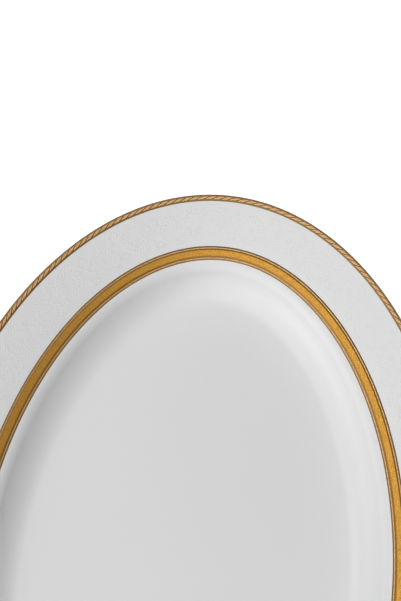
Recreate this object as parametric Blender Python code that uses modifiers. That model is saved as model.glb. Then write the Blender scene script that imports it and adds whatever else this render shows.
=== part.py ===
"""China serving platter: an oval dish with a broad sloping rim, a deep well and a foot ring.

The dish is one fired body. Its decoration is laid on it in thin layers, each a piece of its own: a gilded
rope along the edge, a frieze of white relief on the rim, and a verge of gold lines round the well.
Metres, +Z up. The long axis runs along Y, and the origin is under the middle of the dish, where it rests.
"""

import math

import bmesh
import bpy
from mathutils import Matrix, Vector

# Overall size of the dish, without the gilding that stands on its rim
LENGTH = 0.375
WIDTH = 0.250
RIM_HEIGHT = 0.0260
FLOOR_HEIGHT = 0.0062

# China body. An inset is a level distance in from the oval edge, the same all the way round.
RIM_FALL = 0.23  # height lost for each unit of inset across the rim
WALL_ANGLE = math.radians(66)  # the well's wall, from level
BODY_THICKNESS = 0.0038
FLOOR_THICKNESS = 0.0038
LIP_RADIUS = 0.0014
SHOULDER_MARGIN = 0.0015  # plain rim between the verge and the shoulder's curve
SHOULDER_RADIUS = 0.0050
WELL_RADIUS = 0.0155
BACK_SHOULDER_RADIUS = 0.0050
BACK_WELL_RADIUS = 0.0115
WALL_STRAIGHT = 0.0002  # least straight length left between two curves of the wall

# Foot ring, under the edge of the floor
FOOT_MARGIN = 0.0005
FOOT_WIDTH = 0.0036
FOOT_DRAFT = 0.0009
FOOT_EASE = 0.0003

# Layers of decoration, and the clearance that each keeps
GAP = 0.0003
LAYER = 0.0003
SEAT_DRAFT = 0.0001

# Gilded rope along the edge, on its brown ground
ROPE_GROUND_WIDTH = 0.0033
ROPE_WIDTH = 0.0022
ROPE_RISE = 0.0006
ROPE_ROUNDING = 0.00025

# Field of the rim between the rope and the verge, with a frieze of raised white enamel across it
FIELD_WIDTH = 0.0212
FRIEZE_MARGIN = 0.0025

# Verge round the well: two pale fillets on either side of a broad band, with brown lines between
VERGE_LINE = 0.0005
FILLET_WIDTH = 0.0006
BAND_WIDTH = 0.0033

# How finely the curves are cut
OVAL_SEGMENTS = 80
ARC_STEPS = 4
SMOOTH_ANGLE = math.radians(32)

SEAT_DEPTH = GAP + LAYER
VERGE_INSET = ROPE_GROUND_WIDTH + FIELD_WIDTH
VERGE_WIDTH = 4 * VERGE_LINE + 2 * FILLET_WIDTH + BAND_WIDTH


# ---------------------------------------------------------------- scene, collection and materials

for old in list(bpy.data.objects):
    bpy.data.objects.remove(old, do_unlink=True)

platter = bpy.data.collections.new("China_serving_platter")
bpy.context.scene.collection.children.link(platter)


def finish(name, colour, roughness, metallic):
    """A plain Principled finish for one sub-part."""
    material = bpy.data.materials.new(name)
    material.use_nodes = True
    shader = material.node_tree.nodes["Principled BSDF"]
    shader.inputs["Base Color"].default_value = (*colour, 1.0)
    shader.inputs["Roughness"].default_value = roughness
    shader.inputs["Metallic"].default_value = metallic
    return material


def piece(name, bm, material):
    """Turns a finished bmesh into a named object of the platter."""
    mesh = bpy.data.meshes.new(name)
    bm.to_mesh(mesh)
    bm.free()
    mesh.materials.append(material)
    mesh.shade_smooth()
    mesh.set_sharp_from_angle(angle=SMOOTH_ANGLE)
    thing = bpy.data.objects.new(name, mesh)
    platter.objects.link(thing)
    return thing


# ---------------------------------------------------------------- the oval and its profiles


def rim_height(inset):
    """Height of the rim's upper face, which falls evenly from the edge to the shoulder."""
    return RIM_HEIGHT - RIM_FALL * inset


def arc_reach(radius, turn):
    """How far along each of its two lines an arc of this radius starts from their corner."""
    return radius * math.tan(turn / 2)


def rounded(corners):
    """The points of a profile given as (inset, height, radius) corners, with an arc at each radius."""
    points = []
    for index, (inset, height, radius) in enumerate(corners):
        corner = Vector((inset, height))
        if radius == 0.0:
            points.append(corner)
            continue
        back = (Vector(corners[index - 1][:2]) - corner).normalized()
        ahead = (Vector(corners[index + 1][:2]) - corner).normalized()
        half = back.angle(ahead) / 2
        centre = corner + (back + ahead).normalized() * radius / math.sin(half)
        spoke = corner + back * radius / math.tan(half) - centre
        last_spoke = corner + ahead * radius / math.tan(half) - centre
        turn = math.copysign(math.pi - 2 * half, spoke.x * last_spoke.y - spoke.y * last_spoke.x)
        for step in range(ARC_STEPS + 1):
            points.append(centre + Matrix.Rotation(turn * step / ARC_STEPS, 2) @ spoke)
    return points


def follow(bm, face, points):
    """Insets a level oval face to each point of a profile in turn, and sets it at that point's height."""
    reached = 0.0
    for inset, height in points:
        if inset > reached:
            bmesh.ops.inset_region(
                bm, faces=[face], thickness=inset - reached, use_even_offset=True, use_boundary=True
            )
            reached = inset
        for vert in face.verts:
            vert.co.z = height


def scale_to_oval(bm):
    """Stretches a round start of radius 1 to the platter's plan."""
    bmesh.ops.scale(bm, vec=(WIDTH / 2, LENGTH / 2, 1.0), verts=bm.verts)


# ---------------------------------------------------------------- china body


def seat(first, width):
    """Corners of a shallow channel in the rim that a layer of the given inset and width lies in."""
    outer = first - GAP
    inner = first + width + GAP
    return [
        (outer, rim_height(outer), 0.0),
        (outer + SEAT_DRAFT, rim_height(outer) - SEAT_DEPTH, 0.0),
        (inner - SEAT_DRAFT, rim_height(inner) - SEAT_DEPTH, 0.0),
        (inner, rim_height(inner), 0.0),
    ]


def wall(corner, foot_height, shoulder_radius, well_radius):
    """Corners of a steep wall from the shoulder down to a level floor, and the inset where that starts.

    The curve at the foot of the wall is made smaller where the wall is too short for it.
    """
    drop = corner.y - foot_height
    length = drop / math.sin(WALL_ANGLE)
    shoulder_reach = arc_reach(shoulder_radius, WALL_ANGLE - math.atan(RIM_FALL))
    room = length - shoulder_reach - WALL_STRAIGHT
    radius = min(well_radius, room / math.tan(WALL_ANGLE / 2))
    foot_inset = corner.x + drop / math.tan(WALL_ANGLE)
    corners = [(corner.x, corner.y, shoulder_radius), (foot_inset, foot_height, radius)]
    return corners, foot_inset + arc_reach(radius, WALL_ANGLE)


def china_body():
    """An oval disc whose upper cap is carried in and down to the floor, and whose lower cap is the back."""
    bm = bmesh.new()
    bmesh.ops.create_cone(
        bm, cap_ends=True, segments=OVAL_SEGMENTS, radius1=1.0, radius2=1.0, depth=BODY_THICKNESS
    )
    scale_to_oval(bm)
    caps = sorted((f for f in bm.faces if len(f.verts) > 4), key=lambda f: f.calc_center_median().z)
    lower_cap, upper_cap = caps

    # The edge is stepped down all round for the rope's ground. The verge has a channel of its own.
    step_inset = ROPE_GROUND_WIDTH + GAP
    turn = WALL_ANGLE - math.atan(RIM_FALL)
    shoulder_start = VERGE_INSET + VERGE_WIDTH + SHOULDER_MARGIN
    shoulder_inset = shoulder_start + arc_reach(SHOULDER_RADIUS, turn) * math.cos(math.atan(RIM_FALL))
    shoulder = Vector((shoulder_inset, rim_height(shoulder_inset)))
    wall_corners, floor_inset = wall(shoulder, FLOOR_HEIGHT, SHOULDER_RADIUS, WELL_RADIUS)
    upper = [
        (0.0, rim_height(0.0) - SEAT_DEPTH, 0.0),
        (step_inset - SEAT_DRAFT, rim_height(step_inset) - SEAT_DEPTH, 0.0),
        (step_inset, rim_height(step_inset), 0.0),
    ]
    upper += seat(VERGE_INSET, VERGE_WIDTH) + wall_corners
    upper += [(floor_inset + WELL_RADIUS, FLOOR_HEIGHT, 0.0)]
    follow(bm, upper_cap, rounded(upper)[:-1])

    # The back runs at one thickness from the face, both across the rim and down the wall.
    back_drop = BODY_THICKNESS * math.hypot(1.0, RIM_FALL)
    wall_shift = BODY_THICKNESS / math.sin(WALL_ANGLE)
    corner_shift = (back_drop - RIM_FALL * wall_shift) / (math.tan(WALL_ANGLE) - RIM_FALL)
    back_inset = shoulder_inset - wall_shift + corner_shift
    back_corner = Vector((back_inset, rim_height(back_inset) - back_drop))
    recess = FLOOR_HEIGHT - FLOOR_THICKNESS
    wall_corners, recess_inset = wall(back_corner, recess, BACK_SHOULDER_RADIUS, BACK_WELL_RADIUS)
    foot_outer = recess_inset + FOOT_MARGIN
    tread_outer = foot_outer + FOOT_DRAFT + FOOT_EASE
    tread_inner = tread_outer + FOOT_WIDTH
    foot_inner = tread_inner + FOOT_EASE + FOOT_DRAFT
    lower = [
        (0.0, rim_height(0.0) - SEAT_DEPTH, 0.0),
        (0.0, rim_height(0.0) - back_drop, LIP_RADIUS),
    ]
    lower += wall_corners
    lower += [
        (foot_outer, recess, 0.0),
        (tread_outer - FOOT_EASE, FOOT_EASE, 0.0),
        (tread_outer, 0.0, 0.0),
        (tread_inner, 0.0, 0.0),
        (tread_inner + FOOT_EASE, FOOT_EASE, 0.0),
        (foot_inner, recess, 0.0),
    ]
    follow(bm, lower_cap, rounded(lower)[1:])
    china = finish("china_glaze", (0.86, 0.855, 0.83), 0.12, 0.0)
    piece("china_body", bm, china)


# ---------------------------------------------------------------- layers that follow the oval


def ring(name, first, width, lift, thickness, material):
    """A thin ring along the rim's slope: an open oval strip, given its thickness upwards by Solidify."""
    bm = bmesh.new()
    bmesh.ops.create_circle(bm, cap_ends=True, segments=OVAL_SEGMENTS, radius=1.0)
    scale_to_oval(bm)
    middle = bm.faces[:][0]
    if middle.normal.z < 0:
        middle.normal_flip()
    outer_height = rim_height(first) + lift
    inner_height = rim_height(first + width) + lift
    follow(bm, middle, [(first, outer_height)])
    bmesh.ops.delete(bm, geom=[f for f in bm.faces if f is not middle], context="FACES")
    follow(bm, middle, [(0.0, outer_height), (width, inner_height)])
    bmesh.ops.delete(bm, geom=[middle], context="FACES")
    strip = piece(name, bm, material)
    solidify = strip.modifiers.new("Thickness", "SOLIDIFY")
    solidify.thickness = thickness
    solidify.offset = 1.0
    solidify.use_even_offset = True
    return strip


def rope():
    """The gilded rope and the brown ground whose margins outline it."""
    ground = finish("rope_ground_enamel", (0.27, 0.19, 0.12), 0.45, 0.0)
    gold = finish("rope_gold", (0.56, 0.36, 0.17), 0.35, 0.85)
    ring("rope_ground", SEAT_DRAFT, ROPE_GROUND_WIDTH - SEAT_DRAFT, -LAYER, LAYER, ground)
    margin = (ROPE_GROUND_WIDTH - ROPE_WIDTH) / 2
    border = ring("rope_border", margin, ROPE_WIDTH, GAP, ROPE_RISE, gold)
    rounding = border.modifiers.new("Rounding", "BEVEL")
    rounding.width = ROPE_ROUNDING
    rounding.segments = 2
    rounding.limit_method = "ANGLE"
    rounding.angle_limit = SMOOTH_ANGLE


def relief():
    """The frieze of low white relief across the rim, as the one layer of enamel that holds its motifs."""
    white = finish("relief_white_enamel", (0.88, 0.875, 0.85), 0.3, 0.0)
    ring("rim_relief", ROPE_GROUND_WIDTH + FRIEZE_MARGIN, FIELD_WIDTH - 2 * FRIEZE_MARGIN, GAP, LAYER, white)


def verge():
    """The gold lines round the well, side by side on one brown ground that shows between them."""
    ground = finish("verge_ground_enamel", (0.24, 0.13, 0.05), 0.45, 0.0)
    pale = finish("verge_pale_gold", (0.44, 0.31, 0.15), 0.38, 0.8)
    matte = finish("verge_matte_gold", (0.62, 0.37, 0.10), 0.5, 0.9)
    ring("verge_ground", VERGE_INSET, VERGE_WIDTH, -LAYER, LAYER, ground)
    inset = VERGE_INSET + VERGE_LINE
    lines = (
        ("verge_outer_fillet", FILLET_WIDTH, pale),
        ("verge_band", BAND_WIDTH, matte),
        ("verge_inner_fillet", FILLET_WIDTH, pale),
    )
    for name, width, material in lines:
        ring(name, inset, width, GAP, LAYER, material)
        inset += width + VERGE_LINE


china_body()
rope()
relief()
verge()
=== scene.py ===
import math

import bmesh
import bpy
import numpy as np
from mathutils import Matrix, Vector


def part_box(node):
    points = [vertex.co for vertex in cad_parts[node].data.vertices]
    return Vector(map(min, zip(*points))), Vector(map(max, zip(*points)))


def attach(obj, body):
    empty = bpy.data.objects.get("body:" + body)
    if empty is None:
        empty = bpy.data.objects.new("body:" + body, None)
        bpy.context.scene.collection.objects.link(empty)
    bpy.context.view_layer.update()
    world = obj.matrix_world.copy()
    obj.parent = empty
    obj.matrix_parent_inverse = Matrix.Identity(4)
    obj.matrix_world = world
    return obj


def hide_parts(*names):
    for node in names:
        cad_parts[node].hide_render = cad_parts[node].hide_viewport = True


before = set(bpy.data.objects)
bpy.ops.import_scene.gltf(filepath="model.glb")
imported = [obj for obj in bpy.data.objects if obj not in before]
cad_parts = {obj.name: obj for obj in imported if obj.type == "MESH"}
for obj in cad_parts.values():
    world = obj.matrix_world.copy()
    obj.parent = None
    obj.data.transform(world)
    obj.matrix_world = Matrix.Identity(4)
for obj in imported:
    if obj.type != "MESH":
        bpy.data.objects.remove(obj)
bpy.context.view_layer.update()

# ================================================================ China body
# The dish is one oval casting of white china, fired, dipped in clear glaze and fired again. The rim
# slopes in to a soft shoulder, the wall drops to a level floor, and a foot ring stands underneath.
# The tread of the foot is wiped clean of glaze, so that it does not stick to the kiln shelf.

HALF_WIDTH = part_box("china_body")[1].x
HALF_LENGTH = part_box("china_body")[1].y
RIM_HEIGHT = 0.0260
RIM_FALL = 0.23
EDGE_RADIUS = 0.0008
FLOOR_HEIGHT = 0.0062
BODY_THICKNESS = 0.0038
FLOOR_THICKNESS = 0.0038
BACK_EDGE_RADIUS = 0.0015
WALL_ANGLE = math.radians(64)
SHOULDER_INSET = 0.0345
SHOULDER_RADIUS = 0.0065
WELL_RADIUS = 0.0157
BACK_WELL_RADIUS = 0.0115
FOOT_WIDTH = 0.0036
FOOT_SPLAY = 0.0012
FOOT_MARGIN = 0.0005
FOOT_OUTER_ROOT_RADIUS = 0.0004
FOOT_TREAD_RADIUS = 0.0005
FOOT_INNER_ROOT_RADIUS = 0.0006
OVAL_CUTS = 320
# The largest turn between two cuts of an arc: on the lip, on the upper face and on the back.
EDGE_STEP = math.radians(7)
FACE_STEP = math.radians(4)
BACK_STEP = math.radians(9)


def rim_height(inset):
    """Height of the rim's upper face, at a level distance in from the oval edge."""
    return RIM_HEIGHT - RIM_FALL * inset


def rounded(corners, step_turn):
    """Profile points from (inset, height, radius) corners, with an arc cut finely at each radius."""
    points = []
    for index, (inset, height, radius) in enumerate(corners):
        corner = Vector((inset, height))
        if radius == 0.0:
            points.append(corner)
            continue
        back = (Vector(corners[index - 1][:2]) - corner).normalized()
        ahead = (Vector(corners[index + 1][:2]) - corner).normalized()
        half = back.angle(ahead) / 2
        centre = corner + (back + ahead).normalized() * radius / math.sin(half)
        spoke = corner + back * radius / math.tan(half) - centre
        last_spoke = corner + ahead * radius / math.tan(half) - centre
        turn = math.copysign(math.pi - 2 * half, spoke.x * last_spoke.y - spoke.y * last_spoke.x)
        steps = max(4, round(abs(turn) / step_turn))
        for step in range(steps + 1):
            points.append(centre + Matrix.Rotation(turn * step / steps, 2) @ spoke)
    return points


def select_only(thing, wanted):
    """Selects, in edit mode, just the faces that wanted(face) picks."""
    bm = bmesh.from_edit_mesh(thing.data)
    for face in bm.faces:
        face.select_set(False)
    for face in bm.faces:
        if wanted(face):
            face.select_set(True)
    bmesh.update_edit_mesh(thing.data)


def carry(profile, way=1):
    """Insets the selected level face along a profile. way is -1 on a face that looks down."""
    for here, there in zip(profile, profile[1:]):
        bpy.ops.mesh.inset(
            thickness=there[0] - here[0], depth=way * (there[1] - here[1]), use_even_offset=True
        )


def smooth_piece(thing, name, material):
    """Names a finished piece, shades it smooth and gives it its finish."""
    thing.name = name
    thing.data.name = name
    thing.data.materials.clear()
    thing.data.materials.append(material)
    bpy.ops.object.select_all(action="DESELECT")
    thing.select_set(True)
    bpy.context.view_layer.objects.active = thing
    bpy.ops.object.shade_smooth()


edge_corners = [
    (0.0, rim_height(0.0) - 3 * EDGE_RADIUS, 0.0),
    (0.0, rim_height(0.0), EDGE_RADIUS),
    (SHOULDER_INSET, rim_height(SHOULDER_INSET), 0.0),
]
edge_arc = rounded(edge_corners, EDGE_STEP)[1:-1]
wall_run = (rim_height(SHOULDER_INSET) - FLOOR_HEIGHT) / math.tan(WALL_ANGLE)
well_inset = SHOULDER_INSET + wall_run
face_profile = rounded(
    [
        *edge_corners[:2],
        (SHOULDER_INSET, rim_height(SHOULDER_INSET), SHOULDER_RADIUS),
        (well_inset, FLOOR_HEIGHT, WELL_RADIUS),
        (well_inset + 2 * WELL_RADIUS, FLOOR_HEIGHT, 0.0),
    ],
    FACE_STEP,
)[1:]

back_drop = BODY_THICKNESS * math.hypot(1.0, RIM_FALL)
wall_shift = BODY_THICKNESS / math.sin(WALL_ANGLE)
back_inset = SHOULDER_INSET - wall_shift
back_inset += (back_drop - RIM_FALL * wall_shift) / (math.tan(WALL_ANGLE) - RIM_FALL)
back_height = rim_height(back_inset) - back_drop
recess_height = FLOOR_HEIGHT - FLOOR_THICKNESS
wall_foot = back_inset + (back_height - recess_height) / math.tan(WALL_ANGLE)
foot_outer = wall_foot + BACK_WELL_RADIUS * math.tan(WALL_ANGLE / 2) + FOOT_MARGIN
foot_inner = foot_outer + FOOT_WIDTH + 2 * FOOT_SPLAY
back_profile = rounded(
    [
        (0.0, edge_arc[0].y, 0.0),
        (0.0, rim_height(0.0) - back_drop, BACK_EDGE_RADIUS),
        (back_inset, back_height, SHOULDER_RADIUS),
        (wall_foot, recess_height, BACK_WELL_RADIUS),
        (foot_outer, recess_height, FOOT_OUTER_ROOT_RADIUS),
        (foot_outer + FOOT_SPLAY, 0.0, FOOT_TREAD_RADIUS),
        (foot_outer + FOOT_SPLAY + FOOT_WIDTH, 0.0, FOOT_TREAD_RADIUS),
        (foot_inner, recess_height, FOOT_INNER_ROOT_RADIUS),
        (foot_inner + 2 * FOOT_WIDTH, recess_height, 0.0),
    ],
    BACK_STEP,
)

bpy.ops.object.select_all(action="DESELECT")
edge_top, edge_bottom = edge_arc[0].y, back_profile[1].y
bpy.ops.mesh.primitive_cylinder_add(
    vertices=OVAL_CUTS,
    radius=1.0,
    depth=edge_top - edge_bottom,
    location=(0, 0, (edge_top + edge_bottom) / 2),
)
dish = bpy.context.object
bpy.ops.transform.resize(value=(HALF_WIDTH, HALF_LENGTH, 1))
bpy.ops.object.transform_apply(location=True, rotation=True, scale=True)
bpy.ops.object.mode_set(mode="EDIT")
bpy.ops.mesh.select_mode(type="FACE")
select_only(dish, lambda face: face.normal.z > 0.9)
carry(face_profile)
select_only(dish, lambda face: face.normal.z < -0.9 and len(face.verts) > 4)
carry(back_profile[1:], way=-1)
bpy.ops.object.mode_set(mode="OBJECT")

# Clear glaze over white china: a soft gloss with a very slight unevenness, faintly greyer and cooler
# where the glaze lies thicker. The wiped tread of the foot is dull and a little creamier.
GLAZE_WHITE = (0.80, 0.80, 0.79, 1)
GLAZE_THICK = (0.775, 0.785, 0.785, 1)
BARE_CHINA = (0.70, 0.67, 0.60, 1)
GLAZE_ENDS = 0.00030  # the glaze fades out between these two heights on the foot
GLAZE_FULL = 0.00045
GLAZE_ROUGHNESS = 0.40
BARE_ROUGHNESS = 0.75

china = bpy.data.materials.new("glazed_white_china")
china.use_nodes = True
nodes, links = china.node_tree.nodes, china.node_tree.links
shader = nodes["Principled BSDF"]
shader.inputs["IOR"].default_value = 1.52
shader.inputs["Coat Weight"].default_value = 0.22
shader.inputs["Coat Roughness"].default_value = 0.4
place = nodes.new("ShaderNodeTexCoord")
pooling = nodes.new("ShaderNodeTexNoise")
pooling.inputs["Scale"].default_value = 22.0
pooling.inputs["Detail"].default_value = 3.0
tint = nodes.new("ShaderNodeMix")
tint.data_type = "RGBA"
tint.inputs["A"].default_value = GLAZE_WHITE
tint.inputs["B"].default_value = GLAZE_THICK
height = nodes.new("ShaderNodeSeparateXYZ")
wiped = nodes.new("ShaderNodeMapRange")
wiped.inputs["From Min"].default_value = GLAZE_FULL
wiped.inputs["From Max"].default_value = GLAZE_ENDS
bared = nodes.new("ShaderNodeMix")
bared.data_type = "RGBA"
bared.inputs["B"].default_value = BARE_CHINA
gloss = nodes.new("ShaderNodeMapRange")
gloss.inputs["To Min"].default_value = GLAZE_ROUGHNESS
gloss.inputs["To Max"].default_value = BARE_ROUGHNESS
orange_peel = nodes.new("ShaderNodeTexNoise")
orange_peel.inputs["Scale"].default_value = 260.0
orange_peel.inputs["Detail"].default_value = 2.0
ripple = nodes.new("ShaderNodeBump")
ripple.inputs["Strength"].default_value = 0.05
ripple.inputs["Distance"].default_value = 0.0003
links.new(place.outputs["Object"], pooling.inputs["Vector"])
links.new(place.outputs["Object"], orange_peel.inputs["Vector"])
links.new(place.outputs["Object"], height.inputs["Vector"])
links.new(pooling.outputs["Fac"], tint.inputs["Factor"])
links.new(height.outputs["Z"], wiped.inputs["Value"])
links.new(tint.outputs["Result"], bared.inputs["A"])
links.new(wiped.outputs["Result"], bared.inputs["Factor"])
links.new(wiped.outputs["Result"], gloss.inputs["Value"])
links.new(bared.outputs["Result"], shader.inputs["Base Color"])
links.new(gloss.outputs["Result"], shader.inputs["Roughness"])
links.new(orange_peel.outputs["Fac"], ripple.inputs["Height"])
links.new(ripple.outputs["Normal"], shader.inputs["Normal"])

smooth_piece(dish, "china_dish", china)
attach(dish, "root")
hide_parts("china_body")

# ================================================================ Brown ground of the rope
# A thin skin of fired brown enamel that wraps over the edge of the rim. The rope is gilded on top of
# it, and its two margins are left showing as the rope's fine outlines.

GROUND_LIFT = 0.00004
SKIN_THICKNESS = 0.00012
ROPE_GROUND_START = 0.0001
ROPE_GROUND_END = 0.0033
ROPE_BROWN = (0.36, 0.20, 0.07)
ROPE_BROWN_DEEP = (0.26, 0.14, 0.045)
ENAMEL_LUSTRE = 0.3
ENAMEL_ROUGHNESS = 0.45


def surface_profile(first, last):
    """The rim's own section between two insets, as insets and heights, with any of the edge arc."""
    points = [Vector((first, rim_height(first)))]
    if first < edge_arc[-1].x:
        points = [point for point in edge_arc if point.y >= edge_arc[0].y + first]
    points.append(Vector((last, rim_height(last))))
    return points


def skin_ring(name, profile, lift, thickness, material):
    """A thin closed ring that follows a profile of the oval, raised a little above it."""
    first = profile[0]
    bpy.ops.object.select_all(action="DESELECT")
    bpy.ops.mesh.primitive_circle_add(
        vertices=OVAL_CUTS, radius=1.0, fill_type="NGON", location=(0, 0, first[1] + lift)
    )
    ring = bpy.context.object
    bpy.ops.transform.resize(value=(HALF_WIDTH, HALF_LENGTH, 1))
    bpy.ops.object.transform_apply(location=True, rotation=True, scale=True)
    bpy.ops.object.mode_set(mode="EDIT")
    bpy.ops.mesh.select_mode(type="FACE")
    bpy.ops.mesh.select_all(action="SELECT")
    if first[0] > 0:
        carry([(0.0, 0.0), (first[0], 0.0)])
        bpy.ops.mesh.select_all(action="INVERT")
        bpy.ops.mesh.delete(type="FACE")
        bpy.ops.mesh.select_all(action="SELECT")
    carry(profile)
    bpy.ops.mesh.delete(type="FACE")
    bpy.ops.object.mode_set(mode="OBJECT")
    wall = ring.modifiers.new("Skin", "SOLIDIFY")
    wall.thickness = thickness
    wall.offset = -1.0
    bpy.ops.object.modifier_apply(modifier=wall.name)
    smooth_piece(ring, name, material)
    return ring


def enamel(name, colour, darker):
    """Fired enamel: one colour, a little uneven in depth, with a half gloss and a trace of lustre."""
    material = bpy.data.materials.new(name)
    material.use_nodes = True
    nodes, links = material.node_tree.nodes, material.node_tree.links
    shader = nodes["Principled BSDF"]
    shader.inputs["Metallic"].default_value = ENAMEL_LUSTRE
    shader.inputs["Roughness"].default_value = ENAMEL_ROUGHNESS
    place = nodes.new("ShaderNodeTexCoord")
    depth = nodes.new("ShaderNodeTexNoise")
    depth.inputs["Scale"].default_value = 420.0
    depth.inputs["Detail"].default_value = 4.0
    shade = nodes.new("ShaderNodeMix")
    shade.data_type = "RGBA"
    shade.inputs["A"].default_value = (*darker, 1)
    shade.inputs["B"].default_value = (*colour, 1)
    links.new(place.outputs["Object"], depth.inputs["Vector"])
    links.new(depth.outputs["Fac"], shade.inputs["Factor"])
    links.new(shade.outputs["Result"], shader.inputs["Base Color"])
    return material


rope_brown = enamel("rope_brown_enamel", ROPE_BROWN, ROPE_BROWN_DEEP)
rope_ground = skin_ring(
    "rope_brown_ground",
    surface_profile(ROPE_GROUND_START, ROPE_GROUND_END),
    GROUND_LIFT,
    SKIN_THICKNESS,
    rope_brown,
)
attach(rope_ground, "root")
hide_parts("rope_ground")

# ================================================================ Gilded rope
# Raised gilding along the edge, worked as a laid cord. Each strand shows as a slanting S-shaped leaf
# with a fine line down its middle, burnished on its crowns, and brown ground in the grooves between.
# Its colour also holds painted light: a pale painted highlight on the crowns, and a near-black painted
# shade along the middle line, at the strand's edges and tips and in the grooves.

STRAND_COUNT = 252
ROPE_CENTRE = 0.00225  # from the foot of the edge's arc, measured over its surface
ROPE_HALF_WIDTH = 0.00104
ROPE_CROWN = 0.00034
STRAND_FILL = 0.98  # share of the pitch that a strand fills, the rest being groove
STRAND_SLANT = 2.5  # how far a strand runs along the rope for each step it takes across
STRAND_BEND = 0.25  # share of that slant lost at the tips, which turn back across the rope
STRAND_TIP = 0.1  # share of its full size that a strand keeps at its tips
# Across a strand from its middle outwards, as shares of its half width, its height and its burnish and
# painted light: low values give painted shade at the middle line and edges, high ones a painted
# highlight.
STRAND_SECTION = (
    (0.0, 0.62, 0.08),
    (0.15, 0.84, 0.75),
    (0.5, 1.0, 1.0),
    (0.74, 0.72, 0.62),
    (0.85, 0.35, 0.0),
    (1.0, 0.0, 0.0),
)
STRAND_STATIONS = (-1.0, -0.8, -0.42, 0.0, 0.42, 0.8, 1.0)
TABLE_STEPS = 7200
# The rope's colours: a near-black painted shade for the grooves and strand edges, the strands' own gold,
# and a pale crown tone that is part burnished gold and part painted highlight.
GROOVE_PAINTED_SHADE = (0.09, 0.04, 0.008, 1)
STRAND_GOLD = (0.33, 0.16, 0.036, 1)
CROWN_GOLD_AND_PAINTED_HIGHLIGHT = (0.86, 0.54, 0.24, 1)
WEAR = 0.35  # how much the uneven rubbing of the gold shifts its tone


def oval_table(inset):
    """Angles round the oval edge, and the distance travelled at each along a line at that inset."""
    angle = np.linspace(0, 2 * np.pi, TABLE_STEPS + 1)
    speed = np.hypot(HALF_WIDTH * np.sin(angle), HALF_LENGTH * np.cos(angle))
    bend = HALF_WIDTH * HALF_LENGTH / speed**2
    rate = speed - inset * bend
    steps = (rate[1:] + rate[:-1]) / 2 * np.diff(angle)
    return angle, np.concatenate([[0], np.cumsum(steps)])


def over_edge(distance):
    """Inset, height and turn of the rim's surface, at a distance over it from the foot of the arc."""
    fall = math.atan(RIM_FALL)
    turned = np.clip(distance / EDGE_RADIUS, 0, math.pi / 2 + fall)
    past = distance - turned * EDGE_RADIUS
    inset = EDGE_RADIUS * (1 - np.cos(turned)) + past * math.cos(fall)
    height = edge_arc[0].y + EDGE_RADIUS * np.sin(turned) - past * math.sin(fall)
    return inset, height, turned


def lay_round(mesh, start, table, section):
    """Lays a mesh made flat, x along, y across and z up, onto the rim from a distance round the oval."""
    flat = np.empty(len(mesh.vertices) * 3)
    mesh.vertices.foreach_get("co", flat)
    along, across, lift = flat.reshape(-1, 3).T
    angle = np.interp((start + along) % table[1][-1], table[1], table[0])
    inset, height, turned = section(across)
    inset = inset - lift * np.cos(turned)
    height = height + lift * np.sin(turned)
    outward = np.stack([np.cos(angle) * HALF_LENGTH, np.sin(angle) * HALF_WIDTH])
    outward /= np.linalg.norm(outward, axis=0)
    x = HALF_WIDTH * np.cos(angle) - inset * outward[0]
    y = HALF_LENGTH * np.sin(angle) - inset * outward[1]
    mesh.vertices.foreach_set("co", np.stack([x, y, height], 1).ravel())
    # A pattern comes out mirrored when it is laid this way, so its faces are turned to point outwards.
    mesh.flip_normals()
    mesh.update()


def copies_round(pattern, count, table, section, name, material):
    """Copies a flat pattern evenly round the oval, each with its own mesh, and joins the copies."""
    pitch = table[1][-1] / count
    bpy.ops.object.select_all(action="DESELECT")
    for number in range(count):
        copy = pattern.copy()
        copy.data = pattern.data.copy()
        bpy.context.scene.collection.objects.link(copy)
        lay_round(copy.data, number * pitch, table, section)
        copy.select_set(True)
    bpy.context.view_layer.objects.active = copy
    bpy.ops.object.join()
    joined = bpy.context.object
    bpy.data.objects.remove(pattern, do_unlink=True)
    smooth_piece(joined, name, material)
    return joined


rope_table = oval_table(over_edge(ROPE_CENTRE)[0])
strand_pitch = rope_table[1][-1] / STRAND_COUNT
columns = [(-side, rise, polish_and_painted_light) for side, rise, polish_and_painted_light in STRAND_SECTION[:0:-1]] + list(STRAND_SECTION)
bpy.ops.object.select_all(action="DESELECT")
bpy.ops.mesh.primitive_grid_add(
    x_subdivisions=len(columns) - 1, y_subdivisions=len(STRAND_STATIONS) - 1, size=1.0
)
strand = bpy.context.object
bm = bmesh.new()
bm.from_mesh(strand.data)
polish_and_painted_light_layer = bm.verts.layers.float.new("crown")
for vert in bm.verts:
    side, rise, polish_and_painted_light = columns[round((vert.co.x + 0.5) * (len(columns) - 1))]
    station = STRAND_STATIONS[round((vert.co.y + 0.5) * (len(STRAND_STATIONS) - 1))]
    taper = max(STRAND_TIP, 1 - abs(station) ** 3)
    across = station * ROPE_HALF_WIDTH
    lay = STRAND_SLANT * across * (1 - STRAND_BEND * station**2)
    vert.co.x = side * STRAND_FILL * strand_pitch / 2 * taper**0.5 - lay
    vert.co.y = across
    vert.co.z = rise * ROPE_CROWN * taper - GROUND_LIFT * (1 - taper)
    # The crown attribute sets both the strand's gloss and its painted shade and painted highlight.
    vert[polish_and_painted_light_layer] = polish_and_painted_light * taper
bmesh.ops.contextual_create(bm, geom=[edge for edge in bm.edges if edge.is_boundary])
bmesh.ops.recalc_face_normals(bm, faces=bm.faces)
bm.to_mesh(strand.data)
bm.free()

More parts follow.
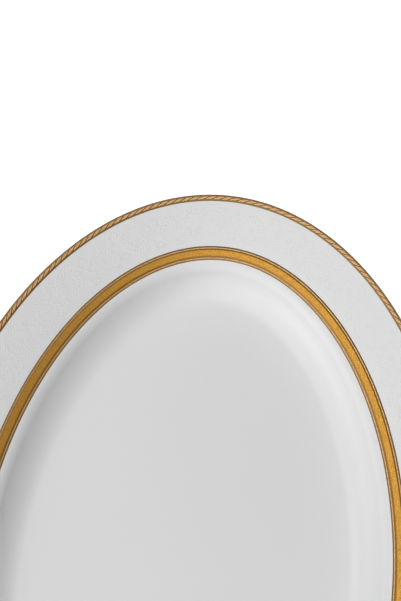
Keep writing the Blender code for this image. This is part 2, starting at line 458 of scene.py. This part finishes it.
rope_gold = bpy.data.materials.new("burnished_rope_gold_painted_light")
rope_gold.use_nodes = True
nodes, links = rope_gold.node_tree.nodes, rope_gold.node_tree.links
shader = nodes["Principled BSDF"]
shader.inputs["Metallic"].default_value = 0.35
place = nodes.new("ShaderNodeTexCoord")
wear = nodes.new("ShaderNodeTexNoise")
wear.inputs["Scale"].default_value = 900.0
wear.inputs["Detail"].default_value = 4.0
crown = nodes.new("ShaderNodeAttribute")
crown.attribute_name = "crown"
wear_and_painted_light = nodes.new("ShaderNodeMath")
wear_and_painted_light.operation = "MULTIPLY_ADD"
wear_and_painted_light.inputs[1].default_value = WEAR
# The colour ramp paints light and shade by the crown attribute: near-black painted shade in the grooves,
# gold over the body of each strand and a pale painted highlight on the crowns, shifted at random by the
# wear noise.
leaf = nodes.new("ShaderNodeValToRGB")
leaf.color_ramp.elements[0].position = 0.20
leaf.color_ramp.elements[0].color = GROOVE_PAINTED_SHADE
leaf.color_ramp.elements[1].position = 0.95
leaf.color_ramp.elements[1].color = CROWN_GOLD_AND_PAINTED_HIGHLIGHT
body_tone = leaf.color_ramp.elements.new(0.5)
body_tone.color = STRAND_GOLD
sheen = nodes.new("ShaderNodeMapRange")
sheen.inputs["To Min"].default_value = 0.55
sheen.inputs["To Max"].default_value = 0.38
links.new(place.outputs["Object"], wear.inputs["Vector"])
links.new(wear.outputs["Fac"], wear_and_painted_light.inputs[0])
links.new(crown.outputs["Fac"], wear_and_painted_light.inputs[2])
links.new(wear_and_painted_light.outputs["Value"], leaf.inputs["Fac"])
links.new(leaf.outputs["Color"], shader.inputs["Base Color"])
links.new(crown.outputs["Fac"], sheen.inputs["Value"])
links.new(sheen.outputs["Result"], shader.inputs["Roughness"])

gilt_rope = copies_round(
    strand,
    STRAND_COUNT,
    rope_table,
    lambda across: over_edge(ROPE_CENTRE - across),
    "gilded_rope_strands",
    rope_gold,
)
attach(gilt_rope, "root")
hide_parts("rope_border")

# ================================================================ White relief frieze
# A running scroll trailed over the whole rim in white slip under the glaze: wide curls wind in to small
# rosettes, closely set with fingers of leaf and joined by a waving stem. It is white on white and under
# a tenth of a millimetre proud, so it only shows as a faint, fine and even texture.

SCROLL_COUNT = 24
FRIEZE_CENTRE = 0.0138
TRAIL_RADIUS = 0.00034
RELIEF_FLATTEN = 0.20
CURL_OUTER = 0.0070
CURL_INNER = 0.0023
CURL_TURNS = 2.1
CURL_START = math.radians(160)
CURL_OFFSET = 0.0008
CURL_STEPS = 60
CURL_THINNING = 0.6
STEM_STEPS = 44
BEAD_SIZE = 0.0009
ROSETTE_REACH = 0.0011
PETAL_COUNT = 7
PETAL_LENGTH = 0.0012
PETAL_WIDTH = 0.0008
LEAF_SPACING = 0.00145
LEAF_LENGTH = 0.0023
LEAF_WIDTH = 0.0008
LEAF_LEAN = math.radians(52)
LEAF_SEAT = 0.55  # how far out from the curl a leaf's middle stands, as a share of its length
SPRAY_LEAVES = 7
SPRAY_START = math.radians(15)
SPRAY_FAN = math.radians(150)
SPRAY_ROWS = ((0.0016, 1.25), (0.0046, 1.0))  # height of each row over the stem, and size of its leaves

frieze_table = oval_table(FRIEZE_CENTRE)
scroll_length = frieze_table[1][-1] / SCROLL_COUNT


def slip_line(points, first_size, last_size):
    """A trail of slip along flat points, from its first to its last share of the full thickness."""
    curve = bpy.data.curves.new("trail", "CURVE")
    curve.dimensions = "3D"
    curve.bevel_depth = TRAIL_RADIUS
    curve.bevel_resolution = 0
    curve.use_fill_caps = True
    spline = curve.splines.new("POLY")
    spline.points.add(len(points) - 1)
    for number, (spot, point) in enumerate(zip(spline.points, points)):
        spot.co = (point.x, point.y, 0, 1)
        spot.radius = first_size + (last_size - first_size) * number / (len(points) - 1)
    trail = bpy.data.objects.new("trail", curve)
    bpy.context.scene.collection.objects.link(trail)
    bpy.ops.object.select_all(action="DESELECT")
    trail.select_set(True)
    bpy.context.view_layer.objects.active = trail
    bpy.ops.object.convert(target="MESH")
    return bpy.context.object


def slip_drop(spot, length, width, turn):
    """A drop of slip, drawn out into a petal, leaf or bead."""
    bpy.ops.object.select_all(action="DESELECT")
    bpy.ops.mesh.primitive_uv_sphere_add(segments=6, ring_count=4, radius=1.0)
    drop = bpy.context.object
    drop.location = (spot.x, spot.y, 0)
    drop.scale = (length / 2, width / 2, width / 2)
    drop.rotation_euler = (0, 0, turn)
    bpy.ops.object.transform_apply(location=True, rotation=True, scale=True)
    return drop


def curl_point(middle, side, share):
    """A point of a curl at a share of its winding, and the way it points there."""
    radius = CURL_OUTER + (CURL_INNER - CURL_OUTER) * share
    angle = CURL_START - 2 * math.pi * CURL_TURNS * share
    spoke = Vector((math.cos(angle), side * math.sin(angle)))
    return middle + spoke * radius, spoke


motif = []
stem = []
swing = CURL_OUTER + CURL_OFFSET + 2 * TRAIL_RADIUS
for step in range(STEM_STEPS + 1):
    wave = 2 * math.pi * step / STEM_STEPS
    stem.append(Vector((scroll_length * step / STEM_STEPS, swing * math.sin(wave))))
motif.append(slip_line(stem, 1.0, 1.0))
# Each length of scroll holds two curls, one on either side of the stem.
for side, share in ((1, 0.25), (-1, 0.75)):
    middle = Vector((scroll_length * share, side * CURL_OFFSET))
    winding = [curl_point(middle, side, step / CURL_STEPS)[0] for step in range(CURL_STEPS + 1)]
    motif.append(slip_line(winding, 1.0, CURL_THINNING))
    motif.append(slip_drop(middle, BEAD_SIZE, BEAD_SIZE, 0.0))
    for petal in range(PETAL_COUNT):
        angle = 2 * math.pi * petal / PETAL_COUNT
        ray = Vector((math.cos(angle), math.sin(angle)))
        motif.append(slip_drop(middle + ray * ROSETTE_REACH, PETAL_LENGTH, PETAL_WIDTH, angle))
    # Fingers of leaf stand along the curl on its outer side, all leaning the way it grows.
    walked = 0.0
    while walked < 1.0:
        foot, spoke = curl_point(middle, side, walked)
        lean = math.atan2(spoke.y, spoke.x) + side * LEAF_LEAN
        centre = foot + Vector((math.cos(lean), math.sin(lean))) * LEAF_LENGTH * LEAF_SEAT
        motif.append(slip_drop(centre, LEAF_LENGTH, LEAF_WIDTH, lean))
        reach = (foot - middle).length
        walked += LEAF_SPACING / (2 * math.pi * CURL_TURNS * reach)
    # Two sprays of leaves, one over the other, fill each gap towards the next curl.
    for way in (1, -1):
        for level, size in SPRAY_ROWS:
            root = middle + Vector((scroll_length / 4, way * level))
            for leaf in range(SPRAY_LEAVES):
                lean = way * (SPRAY_START + SPRAY_FAN * leaf / (SPRAY_LEAVES - 1))
                centre = root + Vector((math.cos(lean), math.sin(lean))) * LEAF_LENGTH * size
                motif.append(slip_drop(centre, LEAF_LENGTH * size, LEAF_WIDTH, lean))

bpy.ops.object.select_all(action="DESELECT")
for trail in motif:
    trail.select_set(True)
bpy.context.view_layer.objects.active = motif[0]
bpy.ops.object.join()
scroll = bpy.context.object
bpy.ops.transform.resize(value=(1, 1, RELIEF_FLATTEN))
bpy.ops.object.transform_apply(location=True, rotation=True, scale=True)
# Only the upper half is kept. It lies on the glaze, open underneath, and meets it at a shallow angle.
bpy.ops.object.mode_set(mode="EDIT")
bpy.ops.mesh.select_mode(type="FACE")
select_only(scroll, lambda face: face.calc_center_median().z < 0)
bpy.ops.mesh.delete(type="FACE")
bpy.ops.object.mode_set(mode="OBJECT")


def across_rim(across):
    """Inset and height on the plain slope of the rim, with y outwards from the middle of the frieze."""
    inset = FRIEZE_CENTRE - across
    return inset, rim_height(inset), np.full_like(across, math.pi / 2 + math.atan(RIM_FALL))


frieze = copies_round(scroll, SCROLL_COUNT, frieze_table, across_rim, "white_relief_frieze", china)
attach(frieze, "root")
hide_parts("rim_relief")

# ================================================================ Brown ground of the verge
# The verge is the border round the well. Its ground is one level ring of the same fired enamel, a little
# redder than the rope's. The gold is laid over it, and leaves it showing as four fine dark lines.

VERGE_INSET = HALF_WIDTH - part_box("verge_ground")[1].x
VERGE_WIDTH = 0.0065
VERGE_BROWN = (0.415, 0.20, 0.041)
VERGE_BROWN_DEEP = (0.30, 0.145, 0.028)

verge_brown = enamel("verge_brown_enamel", VERGE_BROWN, VERGE_BROWN_DEEP)
verge_ground = skin_ring(
    "verge_brown_ground",
    surface_profile(VERGE_INSET, VERGE_INSET + VERGE_WIDTH),
    GROUND_LIFT,
    SKIN_THICKNESS,
    verge_brown,
)
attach(verge_ground, "root")
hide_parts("verge_ground")

# ================================================================ Gold lines of the verge
# A broad band of matte gold runs round the well between two narrow pale fillets. Each is painted on the
# brown ground in liquid gold and fired, and stands a hair above it with its sides eased down.

VERGE_LINE = 0.0006
INNER_LINE = 0.0008  # the brown line between the band and its inner fillet is a little wider
FILLET_WIDTH = 0.00055
BAND_WIDTH = VERGE_WIDTH - 3 * VERGE_LINE - INNER_LINE - 2 * FILLET_WIDTH
GILDING_RISE = 0.00005
GILDING_EASE = 0.00008
EASED_SIDE = ((0, 0), (0.5, 0.75), (1, 1), (1.5, 1))  # shares of the ease and of the rise
BAND_GOLD = (0.58, 0.30, 0.050)
BAND_GOLD_DEEP = (0.36, 0.175, 0.027)
FILLET_GOLD = (0.62, 0.40, 0.19)
FILLET_GOLD_DEEP = (0.44, 0.28, 0.12)


def gilding(name, colour, darker, metallic, roughness, grain):
    """Fired gold with a fine grain, which mottles both its colour and its shine."""
    material = bpy.data.materials.new(name)
    material.use_nodes = True
    nodes, links = material.node_tree.nodes, material.node_tree.links
    shader = nodes["Principled BSDF"]
    shader.inputs["Metallic"].default_value = metallic
    place = nodes.new("ShaderNodeTexCoord")
    speckle = nodes.new("ShaderNodeTexNoise")
    speckle.inputs["Scale"].default_value = grain
    speckle.inputs["Detail"].default_value = 5.0
    speckle.inputs["Roughness"].default_value = 0.65
    spread = nodes.new("ShaderNodeMapRange")
    spread.inputs["From Min"].default_value = 0.36
    spread.inputs["From Max"].default_value = 0.58
    tone = nodes.new("ShaderNodeMix")
    tone.data_type = "RGBA"
    tone.inputs["A"].default_value = (*darker, 1)
    tone.inputs["B"].default_value = (*colour, 1)
    shine = nodes.new("ShaderNodeMapRange")
    shine.inputs["To Min"].default_value = roughness + 0.12
    shine.inputs["To Max"].default_value = roughness - 0.06
    tooth = nodes.new("ShaderNodeBump")
    tooth.inputs["Strength"].default_value = 0.35
    tooth.inputs["Distance"].default_value = 0.00005
    links.new(place.outputs["Object"], speckle.inputs["Vector"])
    links.new(speckle.outputs["Fac"], spread.inputs["Value"])
    links.new(spread.outputs["Result"], tone.inputs["Factor"])
    links.new(tone.outputs["Result"], shader.inputs["Base Color"])
    links.new(spread.outputs["Result"], shine.inputs["Value"])
    links.new(shine.outputs["Result"], shader.inputs["Roughness"])
    links.new(speckle.outputs["Fac"], tooth.inputs["Height"])
    links.new(tooth.outputs["Normal"], shader.inputs["Normal"])
    return material


def gilded_line(name, first, width, material):
    """A line of gold across the rim's slope, eased down to the ground along both its sides."""
    profile = []
    for share, rise in EASED_SIDE:
        inset = first + GILDING_EASE * share
        profile.append((inset, rim_height(inset) + GROUND_LIFT + GILDING_RISE * rise))
    for share, rise in reversed(EASED_SIDE):
        inset = first + width - GILDING_EASE * share
        profile.append((inset, rim_height(inset) + GROUND_LIFT + GILDING_RISE * rise))
    line = skin_ring(name, profile, 0.0, SKIN_THICKNESS, material)
    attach(line, "root")
    return line


matte_gold = gilding(
    "matte_band_gold", BAND_GOLD, BAND_GOLD_DEEP, metallic=0.9, roughness=0.45, grain=2200.0
)
pale_gold = gilding(
    "pale_fillet_gold", FILLET_GOLD, FILLET_GOLD_DEEP, metallic=0.7, roughness=0.42, grain=1500.0
)

outer_line = gilded_line("outer_pale_fillet", VERGE_INSET + VERGE_LINE, FILLET_WIDTH, pale_gold)
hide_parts("verge_outer_fillet")

band_inset = VERGE_INSET + 2 * VERGE_LINE + FILLET_WIDTH
band = gilded_line("matte_gold_band", band_inset, BAND_WIDTH, matte_gold)
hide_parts("verge_band")

inner_line = gilded_line(
    "inner_pale_fillet", band_inset + BAND_WIDTH + INNER_LINE, FILLET_WIDTH, pale_gold
)
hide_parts("verge_inner_fillet")

# ================================================================ Table, light and camera
# A plain pale table that is bright enough to read as white. Three low soft panels stand round the left
# and the front, one hangs overhead, and a smaller one behind lays a sheen on the floor of the well. A
# long lens looks steeply down at the far end.

TABLE_GLOW = 0.55
STUDIO_FILL = 0.04

bpy.ops.object.select_all(action="DESELECT")
bpy.ops.mesh.primitive_plane_add(size=6.0, location=(0, 0, -0.0001))
table_top = bpy.context.object
table_top.name = "table_top"
white = bpy.data.materials.new("pale_table")
white.use_nodes = True
shader = white.node_tree.nodes["Principled BSDF"]
shader.inputs["Base Color"].default_value = (0.9, 0.9, 0.9, 1)
shader.inputs["Roughness"].default_value = 0.9
shader.inputs["Emission Color"].default_value = (1, 1, 1, 1)
shader.inputs["Emission Strength"].default_value = TABLE_GLOW
table_top.data.materials.append(white)

world = bpy.data.worlds.new("studio")
world.use_nodes = True
world.node_tree.nodes["Background"].inputs["Color"].default_value = (1, 1, 1, 1)
world.node_tree.nodes["Background"].inputs["Strength"].default_value = STUDIO_FILL
bpy.context.scene.world = world


def panel(name, azimuth, elevation, distance, size, power):
    """A square soft light that looks at the platter. Azimuth 0 is towards +X and 90 towards +Y."""
    a, e = math.radians(azimuth), math.radians(elevation)
    spot = Vector((math.cos(a) * math.cos(e), math.sin(a) * math.cos(e), math.sin(e))) * distance
    bpy.ops.object.light_add(type="AREA", location=spot)
    light = bpy.context.object
    light.name = name
    light.data.size = size
    light.data.energy = power
    light.rotation_euler = spot.to_track_quat("Z", "Y").to_euler()


panel("left_soft", 205, 25, 1.8, 1.4, 8.4)
panel("front_left_soft", 225, 25, 1.8, 1.4, 6.6)
panel("front_soft", 275, 25, 1.8, 1.4, 7.8)
panel("overhead_soft", 262, 75, 1.8, 1.3, 12.2)
panel("floor_sheen", 120, 64, 1.6, 0.8, 5.7)

CAMERA_AIM = Vector((-0.0101, 0.1339, 0.0220))
CAMERA_AZIMUTH = math.radians(-3.05)
CAMERA_ELEVATION = math.radians(71.63)
CAMERA_ROLL = math.radians(10.84)
CAMERA_DISTANCE = 0.900
CAMERA_LENS = 114.0

bpy.ops.object.camera_add()
camera = bpy.context.object
toward = Vector(
    (
        math.sin(CAMERA_AZIMUTH) * math.cos(CAMERA_ELEVATION),
        -math.cos(CAMERA_AZIMUTH) * math.cos(CAMERA_ELEVATION),
        math.sin(CAMERA_ELEVATION),
    )
)
camera.location = CAMERA_AIM + toward * CAMERA_DISTANCE
level = toward.to_track_quat("Z", "Y")
camera.rotation_mode = "QUATERNION"
camera.rotation_quaternion = level @ Matrix.Rotation(CAMERA_ROLL, 3, "Z").to_quaternion()
camera.data.lens = CAMERA_LENS
camera.data.sensor_width = 36.0
camera.data.clip_start = 0.05
camera.data.clip_end = 20.0
bpy.context.scene.camera = camera
bpy.context.scene.view_settings.view_transform = "Standard"
